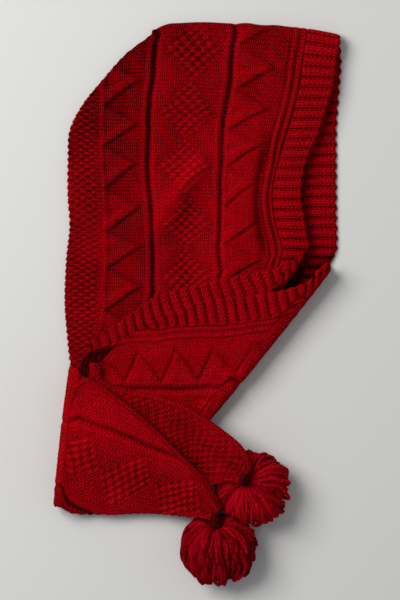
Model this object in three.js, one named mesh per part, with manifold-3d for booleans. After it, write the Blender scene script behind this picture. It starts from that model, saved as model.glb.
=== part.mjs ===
import * as THREE from 'three';
import { mergeVertices } from 'three/addons/utils/BufferGeometryUtils.js';
import Module from 'manifold-3d';

// A hooded scarf lying on its side. Two halves, each one long knitted strip: a hood side, then a tapering tail
// that is folded to the left at the neck and back to the right at the left edge. A ribbed border runs along each
// free edge.

// Driving dimensions, mm
const SPREAD_WIDTH = 291;    // the lying scarf from side to side
const SPREAD_LENGTH = 558;   // from the crown to the lower pompom
const STRIP_WIDTH = 270;     // depth of a hood side from the back seam to the face opening
const WALL = 3.6;            // thickness of the knitting
const GAP = 0.3;             // between pieces, and between layers pressed on each other
const LOFT = 20;             // the air that folded knitting keeps between its layers
const BORDER_WIDTH = 25;
const RIB_PITCH = 10.3;
const RIB_DEPTH = 1.6;       // how deep the furrows between ribs are
const RIB_PROUD = 1;         // how far ribs stand out on the wrong side
const TUCK_RADIUS = 3.2;     // roll where a border is turned under
const GATHER_DEPTH = 1.3;    // pleats where a tail is drawn together
const POMPOM_RADIUS = 37;
const POMPOM_HEIGHT = 45;    // a pompom sags to this height where it lies
const LOCK_DEPTH = 3.2;      // furrows between the locks of yarn
const TIE_RADIUS = 7;
const TIE_LENGTH = 8;
const TIE_SEAT = [5.6, 3.4]; // from the middle of the right and left tail's end to its tie

const WOOL = { color: 0x8c0612, roughness: 0.95, metalness: 0 };
const BORDER_WOOL = { color: 0x96081a, roughness: 0.95, metalness: 0 };
const POMPOM_WOOL = { color: 0x86050f, roughness: 0.9, metalness: 0 };
const TIE_WOOL = { color: 0x5a030a, roughness: 0.95, metalness: 0 };

// Each row is a straight line across the strip, from its back edge to its free edge. x and y are thousandths
// of SPREAD_WIDTH and SPREAD_LENGTH from the middle, layer counts the walls beneath, lifts, domes and dips are
// hundredths of LOFT, and bow is mm. tuck is how far the border is turned under, 1 for half a turn, width is the
// flat strip's width in hundredths of STRIP_WIDTH, and pleats is a share of GATHER_DEPTH.
const ROW = ['backX', 'backY', 'frontX', 'frontY', 'layer', 'liftBack', 'liftFront',
  'dome', 'bow', 'dip', 'tuck', 'width', 'pleats'];

// A fold is half an ellipse round its ridge line: reach is how far it bulges out at the back and at the free
// edge, low and high are [layer, lift back, lift front] of the strip before and after it.
const RIGHT = {
  side: 1,
  crown: { ridge: [-160, 484, 486, 473], reach: [2, 5], bow: 9, width: 100, lift: [0, 40] },
  hood: [
    [-249, 444, 473, 430, 1, 0, 40, 15, 5, 0, 0, 100, 0],
    [-328, 398, 462, 387, 1, 0, 42, 30, 3, 0, 0, 100, 0],
    [-400, 351, 438, 344, 1, 0, 44, 35, 1, 5, 0, 100, 0],
    [-442, 306, 411, 301, 1, 0, 44, 35, 0, 15, 0, 100, 0],
    [-448, 254, 369, 251, 1, 0, 44, 35, 0, 25, 0, 100, 0],
    [-448, 192, 352, 194, 1, 0, 44, 35, 0, 28, 0, 100, 0],
    [-442, 136, 366, 143, 1, 0, 44, 32, 0, 26, 0, 100, 0],
    [-454, 72, 375, 115, 1, 0, 42, 25, 0, 18, 0, 100, 0],
    [-455, -32, 380, 104, 1, 0, 38, 15, 0, 6, 0, 98, 0],
    [-407, -176, 378, 96, 1, 0, 34, 8, 0, 0, 0, 86, 0],
  ],
  neckFold: {
    ridge: [-201, -328, 368, 89], reach: [2, 3.5], low: [1, 0, 30], high: [2, 0, 50],
    bow: 2, width: 64, dome: [3, 3],
  },
  tail: [
    [-246, -335, 308, 70, 2, 0, 50, 3, 0, 0, 0, 60, 0],
    [-297, -342, 163, 51, 2, -5, 48, 3, 0, 0, 0, 55, 0],
    [-349, -349, 5, 34, 2, -12, 45, 3, 0, 0, 0, 50, 0],
    [-397, -355, -136, 13, 2, -18, 38, 3, 0, 0, 0, 46, 0],
    [-435, -360, -256, -30, 2, -22, 30, 3, 0, 0, 0, 43, 0],
    [-466, -364, -356, -65, 2, -22, 24, 5, 0, 0, 0, 41, 0],
  ],
  edgeFold: {
    ridge: [-491, -365, -436, -115], reach: [5, 7], low: [2, -22, 20], high: [5, -20, 100],
    bow: 1, width: 40, dome: [5, 40],
  },
  returned: [
    [-448, -375, -387, -133, 5, -40, 105, 45, 0, 0, 0.35, 38, 0],
    [-380, -380, -318, -161, 5, -66, 112, 50, 0, 0, 0.8, 34, 0],
    [-297, -379, -235, -194, 5, -78, 110, 50, 0, 0, 1, 30, 0],
    [-215, -377, -160, -229, 5, -78, 106, 50, 0, 0, 1, 26, 0],
    [-132, -378, -84, -268, 5, -70, 106, 45, 0, 0, 1, 21, 0.3],
    [-57, -382, -15, -303, 5, -30, 102, 35, 0, 0, 1, 15, 0.7],
    [2, -384, 33, -332, 5, 35, 85, 10, 0, 0, 1, 10, 1],
    [40, -387, 74, -369, 5, 62, 62, 5, 0, 0, 1, 6, 1],
  ],
};

const LEFT = {
  side: -1,
  crown: { ridge: [-160, 484, 486, 473], reach: [2, 5], bow: 9, width: 100, lift: [0, 40] },
  hood: [
    [-249, 444, 490, 434, 0, 0, 0, 0, 5, 0, 0, 100, 0],
    [-328, 398, 485, 391, 0, 0, 0, 0, 3, 0, 0, 100, 0],
    [-400, 351, 478, 348, 0, 0, 0, 0, 1, 0, 0, 100, 0],
    [-442, 306, 473, 305, 0, 0, 0, 0, 0, 0, 0, 100, 0],
    [-448, 254, 473, 254, 0, 0, 0, 0, 0, 0, 0, 100, 0],
    [-448, 192, 473, 192, 0, 0, 0, 0, 0, 0, 0, 100, 0],
    [-442, 136, 474, 143, 0, 0, 0, 0, 0, 0, 0, 100, 0],
    [-454, 72, 476, 109, 0, 0, 0, 0, 0, 0, 0, 100, 0],
    [-455, -32, 473, 91, 0, 0, 0, 0, 0, 0, 0, 99, 0],
    [-387, -194, 464, 80, 0, 0, 0, 0, 0, 0, 0, 90, 0],
  ],
  neckFold: {
    ridge: [-210, -351, 459, 65], reach: [5, 6], low: [0, 0, 0], high: [3, 10, 62],
    bow: 4, width: 74, dome: [0, 3],
  },
  tail: [
    [-242, -350, 380, 39, 3, 2, 62, 3, 0, 0, 0, 70, 0],
    [-277, -348, 309, 24, 3, -4, 62, 3, 0, 0, 0, 65, 0],
    [-308, -345, 177, 12, 3, -6, 61, 3, 0, 0, 0, 60, 0],
    [-338, -342, 26, 4, 3, -8, 58, 3, 0, 0, 0, 55, 0],
    [-366, -341, -112, -23, 3, -10, 50, 3, 0, 0, 0, 50, 0],
    [-393, -339, -256, -65, 3, -8, 40, 3, 0, 0, 0, 45, 0],
  ],
  edgeFold: {
    ridge: [-419, -335, -364, -108], reach: [3.5, 6], low: [3, -5, 31], high: [4, 10, 68],
    bow: 1, width: 42, dome: [3, 5],
  },
  returned: [
    [-373, -335, -325, -142, 4, 6, 66, 10, 0, 0, 0.35, 40, 0],
    [-318, -334, -256, -162, 4, 4, 66, 12, 0, 0, 0.8, 36, 0],
    [-249, -333, -160, -174, 4, 4, 68, 12, 0, 0, 1, 32, 0],
    [-167, -330, -64, -189, 4, 12, 74, 15, 0, 0, 1, 28, 0],
    [-91, -315, 15, -213, 4, 25, 84, 18, 0, 0, 1, 24, 0.3],
    [-19, -308, 81, -237, 4, 40, 100, 15, 0, 0, 1, 18, 0.7],
    [46, -312, 136, -262, 4, 88, 125, 10, 0, 0, 1, 13, 1],
    [108, -317, 163, -290, 4, 145, 155, 5, 0, 0, 1, 8, 1],
    [132, -321, 167, -303, 4, 168, 168, 3, 0, 0, 1, 6, 1],
  ],
};

const HALF_TURN = [-90, -45, 0, 45, 90];
const PLEATS_ACROSS = 2.5;
const DOME_POWER = [4, 2];   // how flat a dome is on top, towards the back and towards the free edge
const DIP_PLACE = 1.35;      // the hood's long dip lies this many border widths from the free edge
const DIP_SPREAD = 9;
const ROOT_POWER = 4;        // how soon a border that is being tucked leaves the top
const BORDER_SHARE = 0.55;   // the most of a tail's width that its border takes
const STEP_ACROSS = 0.01;    // small steps across and along the strip, for its slope
const STEP_ALONG = 0.04;
const FINE_ROWS = 2;         // steps between rows where the knitting curves most

function place(x, y) {
  return new THREE.Vector2(x * SPREAD_WIDTH / 1000, y * SPREAD_LENGTH / 1000);
}

// Height of the middle of the wall in a layer of the folded stack.
function height(layer, lift) {
  return WALL / 2 + layer * (WALL + GAP) + lift / 100 * LOFT;
}

function mix(a, b, w) {
  return a + (b - a) * w;
}

// Rows on half an ellipse round a fold's ridge line, one for each angle.
function foldRows(fold, low, high, angles, inward) {
  const back = place(fold.ridge[0], fold.ridge[1]);
  const front = place(fold.ridge[2], fold.ridge[3]);
  const along = front.clone().sub(back).normalize();
  const out = new THREE.Vector2(-along.y, along.x);
  const middle = back.clone().add(front).multiplyScalar(0.5);
  if (out.dot(inward.clone().sub(middle)) > 0) out.negate();
  return angles.map((degrees, k) => {
    const angle = THREE.MathUtils.degToRad(degrees);
    const pulledIn = 1 - Math.cos(angle);
    const share = angles.length > 1 ? k / (angles.length - 1) : 0;
    const ends = [back, front].map((end, i) => {
      const at = end.clone().addScaledVector(out, -fold.reach[i] * pulledIn);
      const z = mix(low[i], high[i], (1 + Math.sin(angle)) / 2);
      return new THREE.Vector3(at.x, at.y, z);
    });
    return {
      back: ends[0], front: ends[1], out, bow: fold.bow, dip: 0, width: fold.width, pleats: 0,
      dome: fold.dome ? mix(fold.dome[0], fold.dome[1], share) : 0,
      tuck: 0,
    };
  });
}

function middleOf(values) {
  return place((values[0] + values[2]) / 2, (values[1] + values[3]) / 2);
}

function plainRow(values) {
  const row = Object.fromEntries(ROW.map((name, i) => [name, values[i]]));
  const back = place(row.backX, row.backY);
  const front = place(row.frontX, row.frontY);
  row.back = new THREE.Vector3(back.x, back.y, height(row.layer, row.liftBack));
  row.front = new THREE.Vector3(front.x, front.y, height(row.layer, row.liftFront));
  row.out = new THREE.Vector2(0, 1);
  return row;
}

// All rows of one half, from the crown's ridge to the tail's tip.
function stripRows(half) {
  const rows = [];
  const stretches = [];        // steps that the knitting takes between each row and the next
  const add = (more, steps) => more.forEach((row) => {
    rows.push(row);
    stretches.push(steps);
  });
  const level = (z) => [height(z[0], z[1]), height(z[0], z[2])];
  const crown = half.crown;
  const crownAngles = half.side > 0 ? [0, 45, 90] : [0, -45, -90];
  const over = [height(1, crown.lift[0]), height(1, crown.lift[1])];
  add(foldRows(crown, level([0, 0, 0]), over, crownAngles, middleOf(half.hood[0])), 1);
  for (const end of [rows[0].back, rows[0].front]) end.z += half.side * GAP / 2;
  let edgeRidge = 0;
  for (const [name, next] of [['hood', 'neckFold'], ['tail', 'edgeFold'], ['returned', null]]) {
    const firstRow = rows.length;
    add(half[name].map(plainRow), name === 'hood' ? FINE_ROWS : 1);
    if (name === 'tail') stretches.fill(FINE_ROWS, firstRow - 1, firstRow + 2);
    if (next) {
      const fold = half[next];
      const inward = middleOf(half[name][half[name].length - 1]);
      edgeRidge = rows.length + HALF_TURN.indexOf(0);
      add(foldRows(fold, level(fold.low), level(fold.high), HALF_TURN, inward), 1);
    }
  }
  return { rows, stretches, edgeRidge, side: half.side };
}

// A smooth curve through the rows' back or front ends. It doesn't overshoot where rows are close.
function curveOf(rows, end) {
  return new THREE.CatmullRomCurve3(rows.map((row) => row[end]), false, 'centripetal');
}

function valueAt(rows, name, t) {
  const i = Math.min(Math.floor(t), rows.length - 2);
  return mix(rows[i][name], rows[i + 1][name], t - i);
}

// The strip's middle surface: point(u, t) goes from the back edge at u = 0 to the free edge at u = 1.
class Strip {
  constructor(half) {
    Object.assign(this, stripRows(half));
    this.last = this.rows.length - 1;
    this.backCurve = curveOf(this.rows, 'back');
    this.frontCurve = curveOf(this.rows, 'front');
    this.lengths = [0];
    for (let i = 1; i <= this.last; i += 1) {
      const step = this.rows[i].front.distanceTo(this.rows[i - 1].front);
      this.lengths.push(this.lengths[i - 1] + step);
    }
  }

  value(name, t) {
    return valueAt(this.rows, name, t);
  }

  // Distance along the free edge from the crown to a row, and the row at a distance.
  along(t) {
    const i = Math.min(Math.floor(t), this.last - 1);
    return mix(this.lengths[i], this.lengths[i + 1], t - i);
  }

  rowAt(along) {
    let i = 0;
    while (i < this.last - 1 && this.lengths[i + 1] < along) i += 1;
    return i + (along - this.lengths[i]) / (this.lengths[i + 1] - this.lengths[i]);
  }

  width(t) {
    return this.value('width', t) / 100 * STRIP_WIDTH;
  }

  // Where the border meets the knitting: further out where the border is turned under.
  root(t) {
    const share = Math.min(BORDER_WIDTH / this.width(t), BORDER_SHARE);
    return 1 - share * (1 - this.value('tuck', t)) ** ROOT_POWER;
  }

  point(u, t) {
    const back = this.backCurve.getPoint(t / this.last);
    const front = this.frontCurve.getPoint(t / this.last);
    const at = back.clone().lerp(front, u);
    const crowned = 1 - Math.abs(2 * u - 1) ** DOME_POWER[u > 0.5 ? 1 : 0];
    const i = Math.min(Math.floor(t), this.last - 1);
    const out = this.rows[i].out.clone().lerp(this.rows[i + 1].out, t - i);
    const bow = this.value('bow', t) * crowned;
    const fromEdge = (1 - u) * this.width(t);
    const dip = Math.exp(-(((fromEdge - DIP_PLACE * BORDER_WIDTH) / DIP_SPREAD) ** 2));
    const pleat = this.value('pleats', t) * GATHER_DEPTH * Math.cos(2 * Math.PI * PLEATS_ACROSS * u);
    at.x += out.x * bow;
    at.y += out.y * bow;
    at.z += (this.value('dome', t) * crowned - this.value('dip', t) * dip) / 100 * LOFT + pleat;
    return at;
  }

  // The side that shows when the scarf is worn: up on the right half, down on the left half.
  normal(u, t) {
    if (t === 0) return new THREE.Vector3(this.rows[0].out.x, this.rows[0].out.y, 0);
    const t0 = Math.max(t - STEP_ALONG, 0);
    const t1 = Math.min(t + STEP_ALONG, this.last);
    const u0 = Math.max(u - STEP_ACROSS, 0);
    const u1 = Math.min(u + STEP_ACROSS, 1);
    const across = this.point(u1, t).sub(this.point(u0, t));
    const down = this.point(u, t1).sub(this.point(u, t0));
    return down.cross(across).normalize().multiplyScalar(this.side);
  }
}

const wasm = await Module();
wasm.setup();

function solidOf(geometry) {
  const bare = geometry.clone();
  for (const name of Object.keys(bare.attributes)) {
    if (name !== 'position') bare.deleteAttribute(name);
  }
  const merged = mergeVertices(bare);
  const vertProperties = new Float32Array(merged.attributes.position.array);
  const triVerts = new Uint32Array(merged.index.array);
  return new wasm.Manifold(new wasm.Mesh({ numProp: 3, vertProperties, triVerts }));
}

// What is left of one geometry when another is cut away, without loose crumbs.
function cutAway(geometry, cutter) {
  const pieces = solidOf(geometry).subtract(solidOf(cutter)).decompose();
  pieces.sort((a, b) => b.volume() - a.volume());
  const { vertProperties, triVerts } = pieces[0].getMesh();
  const left = new THREE.BufferGeometry();
  left.setAttribute('position', new THREE.BufferAttribute(new Float32Array(vertProperties), 3));
  left.setIndex([...triVerts]);
  left.computeVertexNormals();
  return left;
}

// A closed solid from two grids of points, right side and wrong side, with the rims between them.
function solidFromGrids(outer, inner, flip) {
  const rows = outer.length;
  const columns = outer[0].length;
  const points = [...outer.flat(), ...inner.flat()];
  const at = (layer, i, j) => layer * rows * columns + i * columns + j;
  const triangles = [];
  const quad = (a, b, c, d) => triangles.push(...(flip ? [a, c, b, a, d, c] : [a, b, c, a, c, d]));
  for (let i = 0; i < rows - 1; i += 1) {
    for (let j = 0; j < columns - 1; j += 1) {
      quad(at(0, i, j), at(0, i + 1, j), at(0, i + 1, j + 1), at(0, i, j + 1));
      quad(at(1, i, j), at(1, i, j + 1), at(1, i + 1, j + 1), at(1, i + 1, j));
    }
    quad(at(0, i, 0), at(1, i, 0), at(1, i + 1, 0), at(0, i + 1, 0));
    quad(at(0, i + 1, columns - 1), at(1, i + 1, columns - 1), at(1, i, columns - 1), at(0, i, columns - 1));
  }
  for (let j = 0; j < columns - 1; j += 1) {
    quad(at(0, 0, j), at(0, 0, j + 1), at(1, 0, j + 1), at(1, 0, j));
    quad(at(0, rows - 1, j + 1), at(0, rows - 1, j), at(1, rows - 1, j), at(1, rows - 1, j + 1));
  }
  const geometry = new THREE.BufferGeometry();
  geometry.setAttribute('position', new THREE.Float32BufferAttribute(points.flatMap((p) => p.toArray()), 3));
  geometry.setIndex(triangles);
  geometry.computeVertexNormals();
  return geometry;
}

const ACROSS = [0, 0.1, 0.25, 0.4, 0.5, 0.6, 0.72, 0.83, 0.91, 1];   // columns, from the back edge to the border

// The rows that the knitting of one half is divided at.
function panelStations(strip) {
  const stations = [];
  for (let i = 0; i < strip.last; i += 1) {
    for (let k = 0; k < strip.stretches[i]; k += 1) stations.push(i + k / strip.stretches[i]);
  }
  return [...stations, strip.last];
}

function restingOn(point) {
  point.z = Math.max(point.z, 0);
  return point;
}

// The knitting of one half, without its border. With spare it is that much thicker all round, as a cutter.
function sidePanel(strip, spare = 0) {
  const grid = (offset) => panelStations(strip).map((t) => ACROSS.map((share) => {
    const u = share * (strip.root(t) + spare / 2 / strip.width(t));
    return restingOn(strip.point(u, t).addScaledVector(strip.normal(u, t), offset));
  }));
  return solidFromGrids(grid(WALL / 2 + spare), grid(-WALL / 2 - spare), strip.side < 0);
}

const BORDER_COLUMNS = [0, 0.2, 0.42, 1];    // from the knitting to the free edge

// The rim of the knitting where the border starts: its middle, the way to the free edge, and the right side.
function rimAt(strip, t) {
  const root = strip.root(t);
  const point = strip.point(root, t);
  const forward = point.clone().sub(strip.point(root - 2 * STEP_ACROSS, t)).normalize();
  return { point, forward, normal: strip.normal(root, t) };
}

// Rows of the border: those of the knitting, and a ridge and a furrow for each pitch as far as the edge fold.
function borderStations(strip) {
  const stations = panelStations(strip).map((t) => ({ t, along: strip.along(t), onRow: true }));
  const ribbed = strip.lengths[strip.edgeRidge];
  const count = 2 * Math.round(ribbed / RIB_PITCH);
  for (let k = 1; k < count; k += 1) {
    const along = k / count * ribbed;
    stations.push({ t: strip.rowAt(along), along, onRow: false });
  }
  stations.sort((a, b) => a.t - b.t);
  return stations.map((station) => {
    const pitches = station.along / ribbed * count / 2;
    const furrow = 2 * Math.abs(pitches - Math.round(pitches));
    return { ...station, furrow: station.along < ribbed ? furrow : 0 };
  });
}

const BUNCHING = 0.75;       // how much shorter a border gets where it is half tucked
const TUCK_SHARE = 0.4;      // the most of a tail's width that is tucked
const TUCK_START = 0.25;     // how far it is turned where the roll has its full shape

// The border's middle at a share of the way from the rim to the free edge. Where it is tucked, it rolls round
// TUCK_RADIUS towards the inside of the fold and lies under the knitting.
function borderPoint(strip, t, share, rim) {
  const root = strip.root(t);
  const tuck = strip.value('tuck', t);
  const start = rim.point.clone().addScaledVector(rim.forward, GAP);
  const flat = strip.point(mix(root, 1, share), t);
  if (tuck === 0) return share === 0 ? start : flat;
  const turn = tuck * Math.PI;
  const bunched = 1 - BUNCHING * Math.sin(turn);
  const gone = share * bunched * Math.min(BORDER_WIDTH, strip.width(t) * TUCK_SHARE);
  const bend = Math.min(gone / TUCK_RADIUS, turn);
  const straight = Math.max(gone - turn * TUCK_RADIUS, 0);
  const ahead = TUCK_RADIUS * Math.sin(bend) + straight * Math.cos(turn);
  const under = TUCK_RADIUS * (1 - Math.cos(bend)) + straight * Math.sin(turn);
  const rolled = start.clone().addScaledVector(rim.forward, ahead);
  rolled.addScaledVector(rim.normal, -strip.side * under);
  return share === 0 ? start : flat.lerp(rolled, Math.min(tuck / TUCK_START, 1));
}

// The ribbed border of one half. Between two rows of the knitting its rim follows their straight edge.
function ribbedBorder(strip) {
  const stations = borderStations(strip);
  const rims = stations.map(({ t, onRow }) => (onRow ? rimAt(strip, t) : null));
  stations.forEach(({ t }, i) => {
    if (rims[i]) return;
    let before = i;
    let after = i;
    while (!stations[before].onRow) before -= 1;
    while (!stations[after].onRow) after += 1;
    const share = (t - stations[before].t) / (stations[after].t - stations[before].t);
    rims[i] = Object.fromEntries(['point', 'forward', 'normal'].map((name) => [
      name, rims[before][name].clone().lerp(rims[after][name], share)]));
  });
  const middle = stations.map(({ t }, i) => (
    BORDER_COLUMNS.map((share) => borderPoint(strip, t, share, rims[i]))));
  const last = BORDER_COLUMNS.length - 1;
  const normalAt = (i, j) => {
    if (j === 0 || i === 0) return rims[i].normal;
    const down = middle[Math.min(i + 1, middle.length - 1)][j].clone().sub(middle[i - 1][j]);
    const across = middle[i][Math.min(j + 1, last)].clone().sub(middle[i][j - 1]);
    return down.cross(across).normalize().multiplyScalar(strip.side);
  };
  const grid = (rest, sign) => stations.map(({ furrow }, i) => BORDER_COLUMNS.map((_, j) => {
    const offset = rest - furrow * RIB_DEPTH;
    return restingOn(middle[i][j].clone().addScaledVector(normalAt(i, j), sign * offset));
  }));
  return solidFromGrids(grid(WALL / 2, 1), grid(WALL / 2 + RIB_PROUD, -1), strip.side < 0);
}

// A pompom is a ball of locks fanned out from its tie. It lies flat on the surface and against its neighbour.
const LOCKS = 22;
const LOCK_STEPS = 3;        // points across a lock
const RINGS = 9;             // from the tie to the far pole
const SAG = 0.45;            // how high its middle lies, as a share of POMPOM_HEIGHT
const DIMPLE = 0.65;         // radians round the tie that its seat takes up
const LEAN = 0.42;           // how far the face between the two pompoms leans over the lower one
const DIMPLE_POWER = 8;      // how sharply the seat of the tie ends
const UNEVENNESS = 0.05;     // how much shorter the shortest locks are
const UNEVEN_PHASE = 2.4;    // radians from one lock to the next in that

function pompomGeometry(centre, tieEnd, contact) {
  const axis = tieEnd.clone().sub(centre);
  const seat = axis.length() - GAP;
  axis.normalize();
  const side = new THREE.Vector3(0, 0, 1).cross(axis).normalize();
  const other = axis.clone().cross(side);
  const steepness = POMPOM_HEIGHT * (1 - SAG);
  const radiusAlong = (direction, furrow, length, from) => {
    const level = Math.hypot(direction.x, direction.y) / POMPOM_RADIUS;
    let radius = length / Math.hypot(level, direction.z / steepness) - furrow;
    const dimple = 1 / (1 + (from / DIMPLE) ** DIMPLE_POWER);
    radius = mix(radius, seat, dimple);
    if (direction.z < 0) radius = Math.min(radius, -centre.z / direction.z);
    const facing = direction.dot(contact.normal);
    return facing > 0 ? Math.min(radius, contact.distance / facing) : radius;
  };
  const points = [];
  const around = LOCKS * LOCK_STEPS;
  const pointAt = (from, turn, furrow, length) => {
    const direction = axis.clone().multiplyScalar(Math.cos(from));
    direction.addScaledVector(side, Math.sin(from) * Math.cos(turn));
    direction.addScaledVector(other, Math.sin(from) * Math.sin(turn));
    return direction.multiplyScalar(radiusAlong(direction, furrow, length, from)).add(centre);
  };
  points.push(pointAt(0, 0, 0, 1));
  for (let ring = 1; ring < RINGS; ring += 1) {
    const from = ring / RINGS * Math.PI;
    for (let k = 0; k < around; k += 1) {
      const lock = Math.floor(k / LOCK_STEPS);
      const furrow = k % LOCK_STEPS === 0 ? LOCK_DEPTH * Math.sin(from) : 0;
      const shorter = UNEVENNESS * (1 + Math.cos(lock * UNEVEN_PHASE)) / 2;
      const length = 1 - shorter * Math.sin(from / 2);
      points.push(pointAt(from, k / around * 2 * Math.PI, furrow, length));
    }
  }
  points.push(pointAt(Math.PI, 0, 0, 1));
  const triangles = [];
  const last = points.length - 1;
  for (let k = 0; k < around; k += 1) {
    const next = (k + 1) % around;
    triangles.push(0, 1 + k, 1 + next);
    for (let ring = 0; ring < RINGS - 2; ring += 1) {
      const a = 1 + ring * around;
      const b = a + around;
      triangles.push(a + k, b + k, b + next, a + k, b + next, a + next);
    }
    const end = 1 + (RINGS - 2) * around;
    triangles.push(end + k, last, end + next);
  }
  const geometry = new THREE.BufferGeometry();
  geometry.setAttribute('position', new THREE.Float32BufferAttribute(points.flatMap((p) => p.toArray()), 3));
  geometry.setIndex(triangles);
  geometry.computeVertexNormals();
  return geometry;
}

// Yarn wound round a tail's end: a barrel with a groove beside each turn.
const TIE_TURNS = 3;
const TIE_GROOVE = 0.8;
const TIE_SIDES = 12;

function tieGeometry() {
  const profile = [new THREE.Vector2(0, 0)];
  for (let k = 0; k <= 2 * TIE_TURNS; k += 1) {
    const radius = TIE_RADIUS - (k % 2 === 0 ? TIE_GROOVE : 0);
    profile.push(new THREE.Vector2(radius, k / (2 * TIE_TURNS) * TIE_LENGTH));
  }
  profile.push(new THREE.Vector2(0, TIE_LENGTH));
  return new THREE.LatheGeometry(profile, TIE_SIDES);
}

function knitMesh(name, geometry, finish) {
  const mesh = new THREE.Mesh(geometry, new THREE.MeshStandardMaterial(finish));
  mesh.name = name;
  return mesh;
}

// Middles of the two pompoms, in thousandths of SPREAD_WIDTH and SPREAD_LENGTH.
const POMPOM_PLACES = { right: [67, -436], left: [186, -331] };
const pompomCentre = (name) => {
  const at = place(...POMPOM_PLACES[name]);
  return new THREE.Vector3(at.x, at.y, POMPOM_HEIGHT * SAG);
};

const scarf = new THREE.Group();
const between = pompomCentre('left').sub(pompomCentre('right'));
for (const [name, half, tieSeat] of [['right', RIGHT, TIE_SEAT[0]], ['left', LEFT, TIE_SEAT[1]]]) {
  const strip = new Strip(half);
  scarf.add(knitMesh(`${name}_side`, sidePanel(strip), WOOL));
  const border = cutAway(ribbedBorder(strip), sidePanel(strip, GAP));
  scarf.add(knitMesh(`${name}_border`, border, BORDER_WOOL));

  const centre = pompomCentre(name);
  const tailEnd = strip.point(0.5, strip.last);
  const towards = centre.clone().sub(tailEnd).normalize();
  const tie = knitMesh(`${name}_tie`, tieGeometry(), TIE_WOOL);
  tie.position.copy(tailEnd).addScaledVector(towards, tieSeat);
  tie.quaternion.setFromUnitVectors(new THREE.Vector3(0, 1, 0), towards);
  scarf.add(tie);

  const facing = between.clone().normalize().multiplyScalar(half.side);
  facing.z = half.side * LEAN;
  facing.normalize();
  const distance = Math.abs(between.dot(facing)) / 2 - GAP / 2;
  const tieEnd = tailEnd.clone().addScaledVector(towards, tieSeat + TIE_LENGTH);
  const pompom = pompomGeometry(centre, tieEnd, { normal: facing, distance });
  scarf.add(knitMesh(`${name}_pompom`, pompom, POMPOM_WOOL));
}

export default scarf;
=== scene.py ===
import math

import bpy
import numpy as np
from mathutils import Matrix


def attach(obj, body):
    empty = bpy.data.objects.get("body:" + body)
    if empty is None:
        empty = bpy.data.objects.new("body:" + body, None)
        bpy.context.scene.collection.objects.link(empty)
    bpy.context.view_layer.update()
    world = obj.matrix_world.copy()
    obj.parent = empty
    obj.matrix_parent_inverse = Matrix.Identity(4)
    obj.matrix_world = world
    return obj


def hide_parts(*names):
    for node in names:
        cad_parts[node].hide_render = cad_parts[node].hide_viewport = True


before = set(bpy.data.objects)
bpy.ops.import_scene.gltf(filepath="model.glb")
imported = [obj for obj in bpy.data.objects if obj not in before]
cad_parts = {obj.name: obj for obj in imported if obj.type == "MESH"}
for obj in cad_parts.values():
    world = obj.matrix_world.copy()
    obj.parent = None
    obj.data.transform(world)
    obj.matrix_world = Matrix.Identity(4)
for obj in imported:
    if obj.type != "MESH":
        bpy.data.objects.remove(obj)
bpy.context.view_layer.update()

# Right half, hood side. The wearer's right half of the scarf is one strip of chunky wool, knitted from
# the crown down. Moss stitch runs along the back seam, then come zigzags, a column of moss diamonds, more
# zigzags and two plain ribs before the border. Each row of the tables is a straight line across the strip
# where it lies.
SPREAD_WIDTH, SPREAD_LENGTH = 291.0, 558.0
STRIP_WIDTH = 270.0
BORDER_WIDTH, BORDER_MOST = 25.0, 0.55
WALL, GAP, LOFT = 3.6, 0.3, 20.0
RIM_RADIUS = 2.4
GATHER_DEPTH = 1.3
PLEATS_ACROSS = 2.5
DIP_PLACE, DIP_SPREAD = 33.75, 9.0
CROWN_ANGLES = (0, 45, 90)
FOLD_ANGLES = (-90, -45, 0, 45, 90)
# A row holds its ends, back x, back y, front x and front y, in thousandths of the spread. Then come the
# layer, lift back, lift front and dome in percent of the loft, bow in mm, dip in percent of the loft,
# tuck from 0 to 1, width in percent of the strip's, pleats from 0 to 1, and the lead of its back end, in
# percent of the strip's width.
right_crown = dict(ridge=(-160, 484, 486, 473), reach=(2, 5), bow=9, width=100, lead=0, lift=(0, 40))
right_hood = [
    (-249, 444, 473, 430, 1, 0, 40, 15, 5, 0, 0, 100, 0, 0),
    (-328, 398, 462, 387, 1, 0, 42, 30, 3, 0, 0, 100, 0, 0),
    (-400, 351, 438, 344, 1, 0, 44, 35, 1, 5, 0, 100, 0, 0),
    (-442, 306, 411, 301, 1, 0, 44, 35, 0, 15, 0, 100, 0, 0),
    (-448, 254, 369, 251, 1, 0, 44, 35, 0, 25, 0, 100, 0, 0),
    (-448, 192, 352, 194, 1, 0, 44, 35, 0, 28, 0, 100, 0, 0),
    (-442, 136, 366, 143, 1, 0, 44, 32, 0, 26, 0, 100, 0, 0),
    (-454, 72, 375, 115, 1, 0, 42, 25, 0, 18, 0, 100, 0, 9),
    (-455, -32, 380, 104, 1, 0, 38, 15, 0, 6, 0, 98, 0, 28),
    (-407, -176, 378, 96, 1, 0, 34, 8, 0, 0, 0, 86, 0, 56),
]
right_neck = dict(ridge=(-201, -328, 368, 89), reach=(2, 3.5), low=(1, 0, 30), high=(2, 0, 50), bow=2,
                  width=64,
                  lead=88, dome=(3, 3))
right_tail = [
    (-246, -335, 308, 70, 2, 0, 50, 3, 0, 0, 0, 60, 0, 84),
    (-297, -342, 163, 51, 2, -5, 48, 3, 0, 0, 0, 55, 0, 75),
    (-349, -349, 5, 34, 2, -12, 45, 3, 0, 0, 0, 50, 0, 64),
    (-397, -355, -136, 13, 2, -18, 38, 3, 0, 0, 0, 46, 0, 50),
    (-435, -360, -256, -30, 2, -22, 30, 3, 0, 0, 0, 43, 0, 40),
    (-466, -364, -356, -65, 2, -22, 24, 5, 0, 0, 0, 41, 0, 32),
]
right_edge = dict(ridge=(-491, -365, -436, -115), reach=(5, 7), low=(2, -22, 20), high=(5, -20, 100), bow=1,
                  width=40, lead=28, dome=(5, 40))
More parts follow.
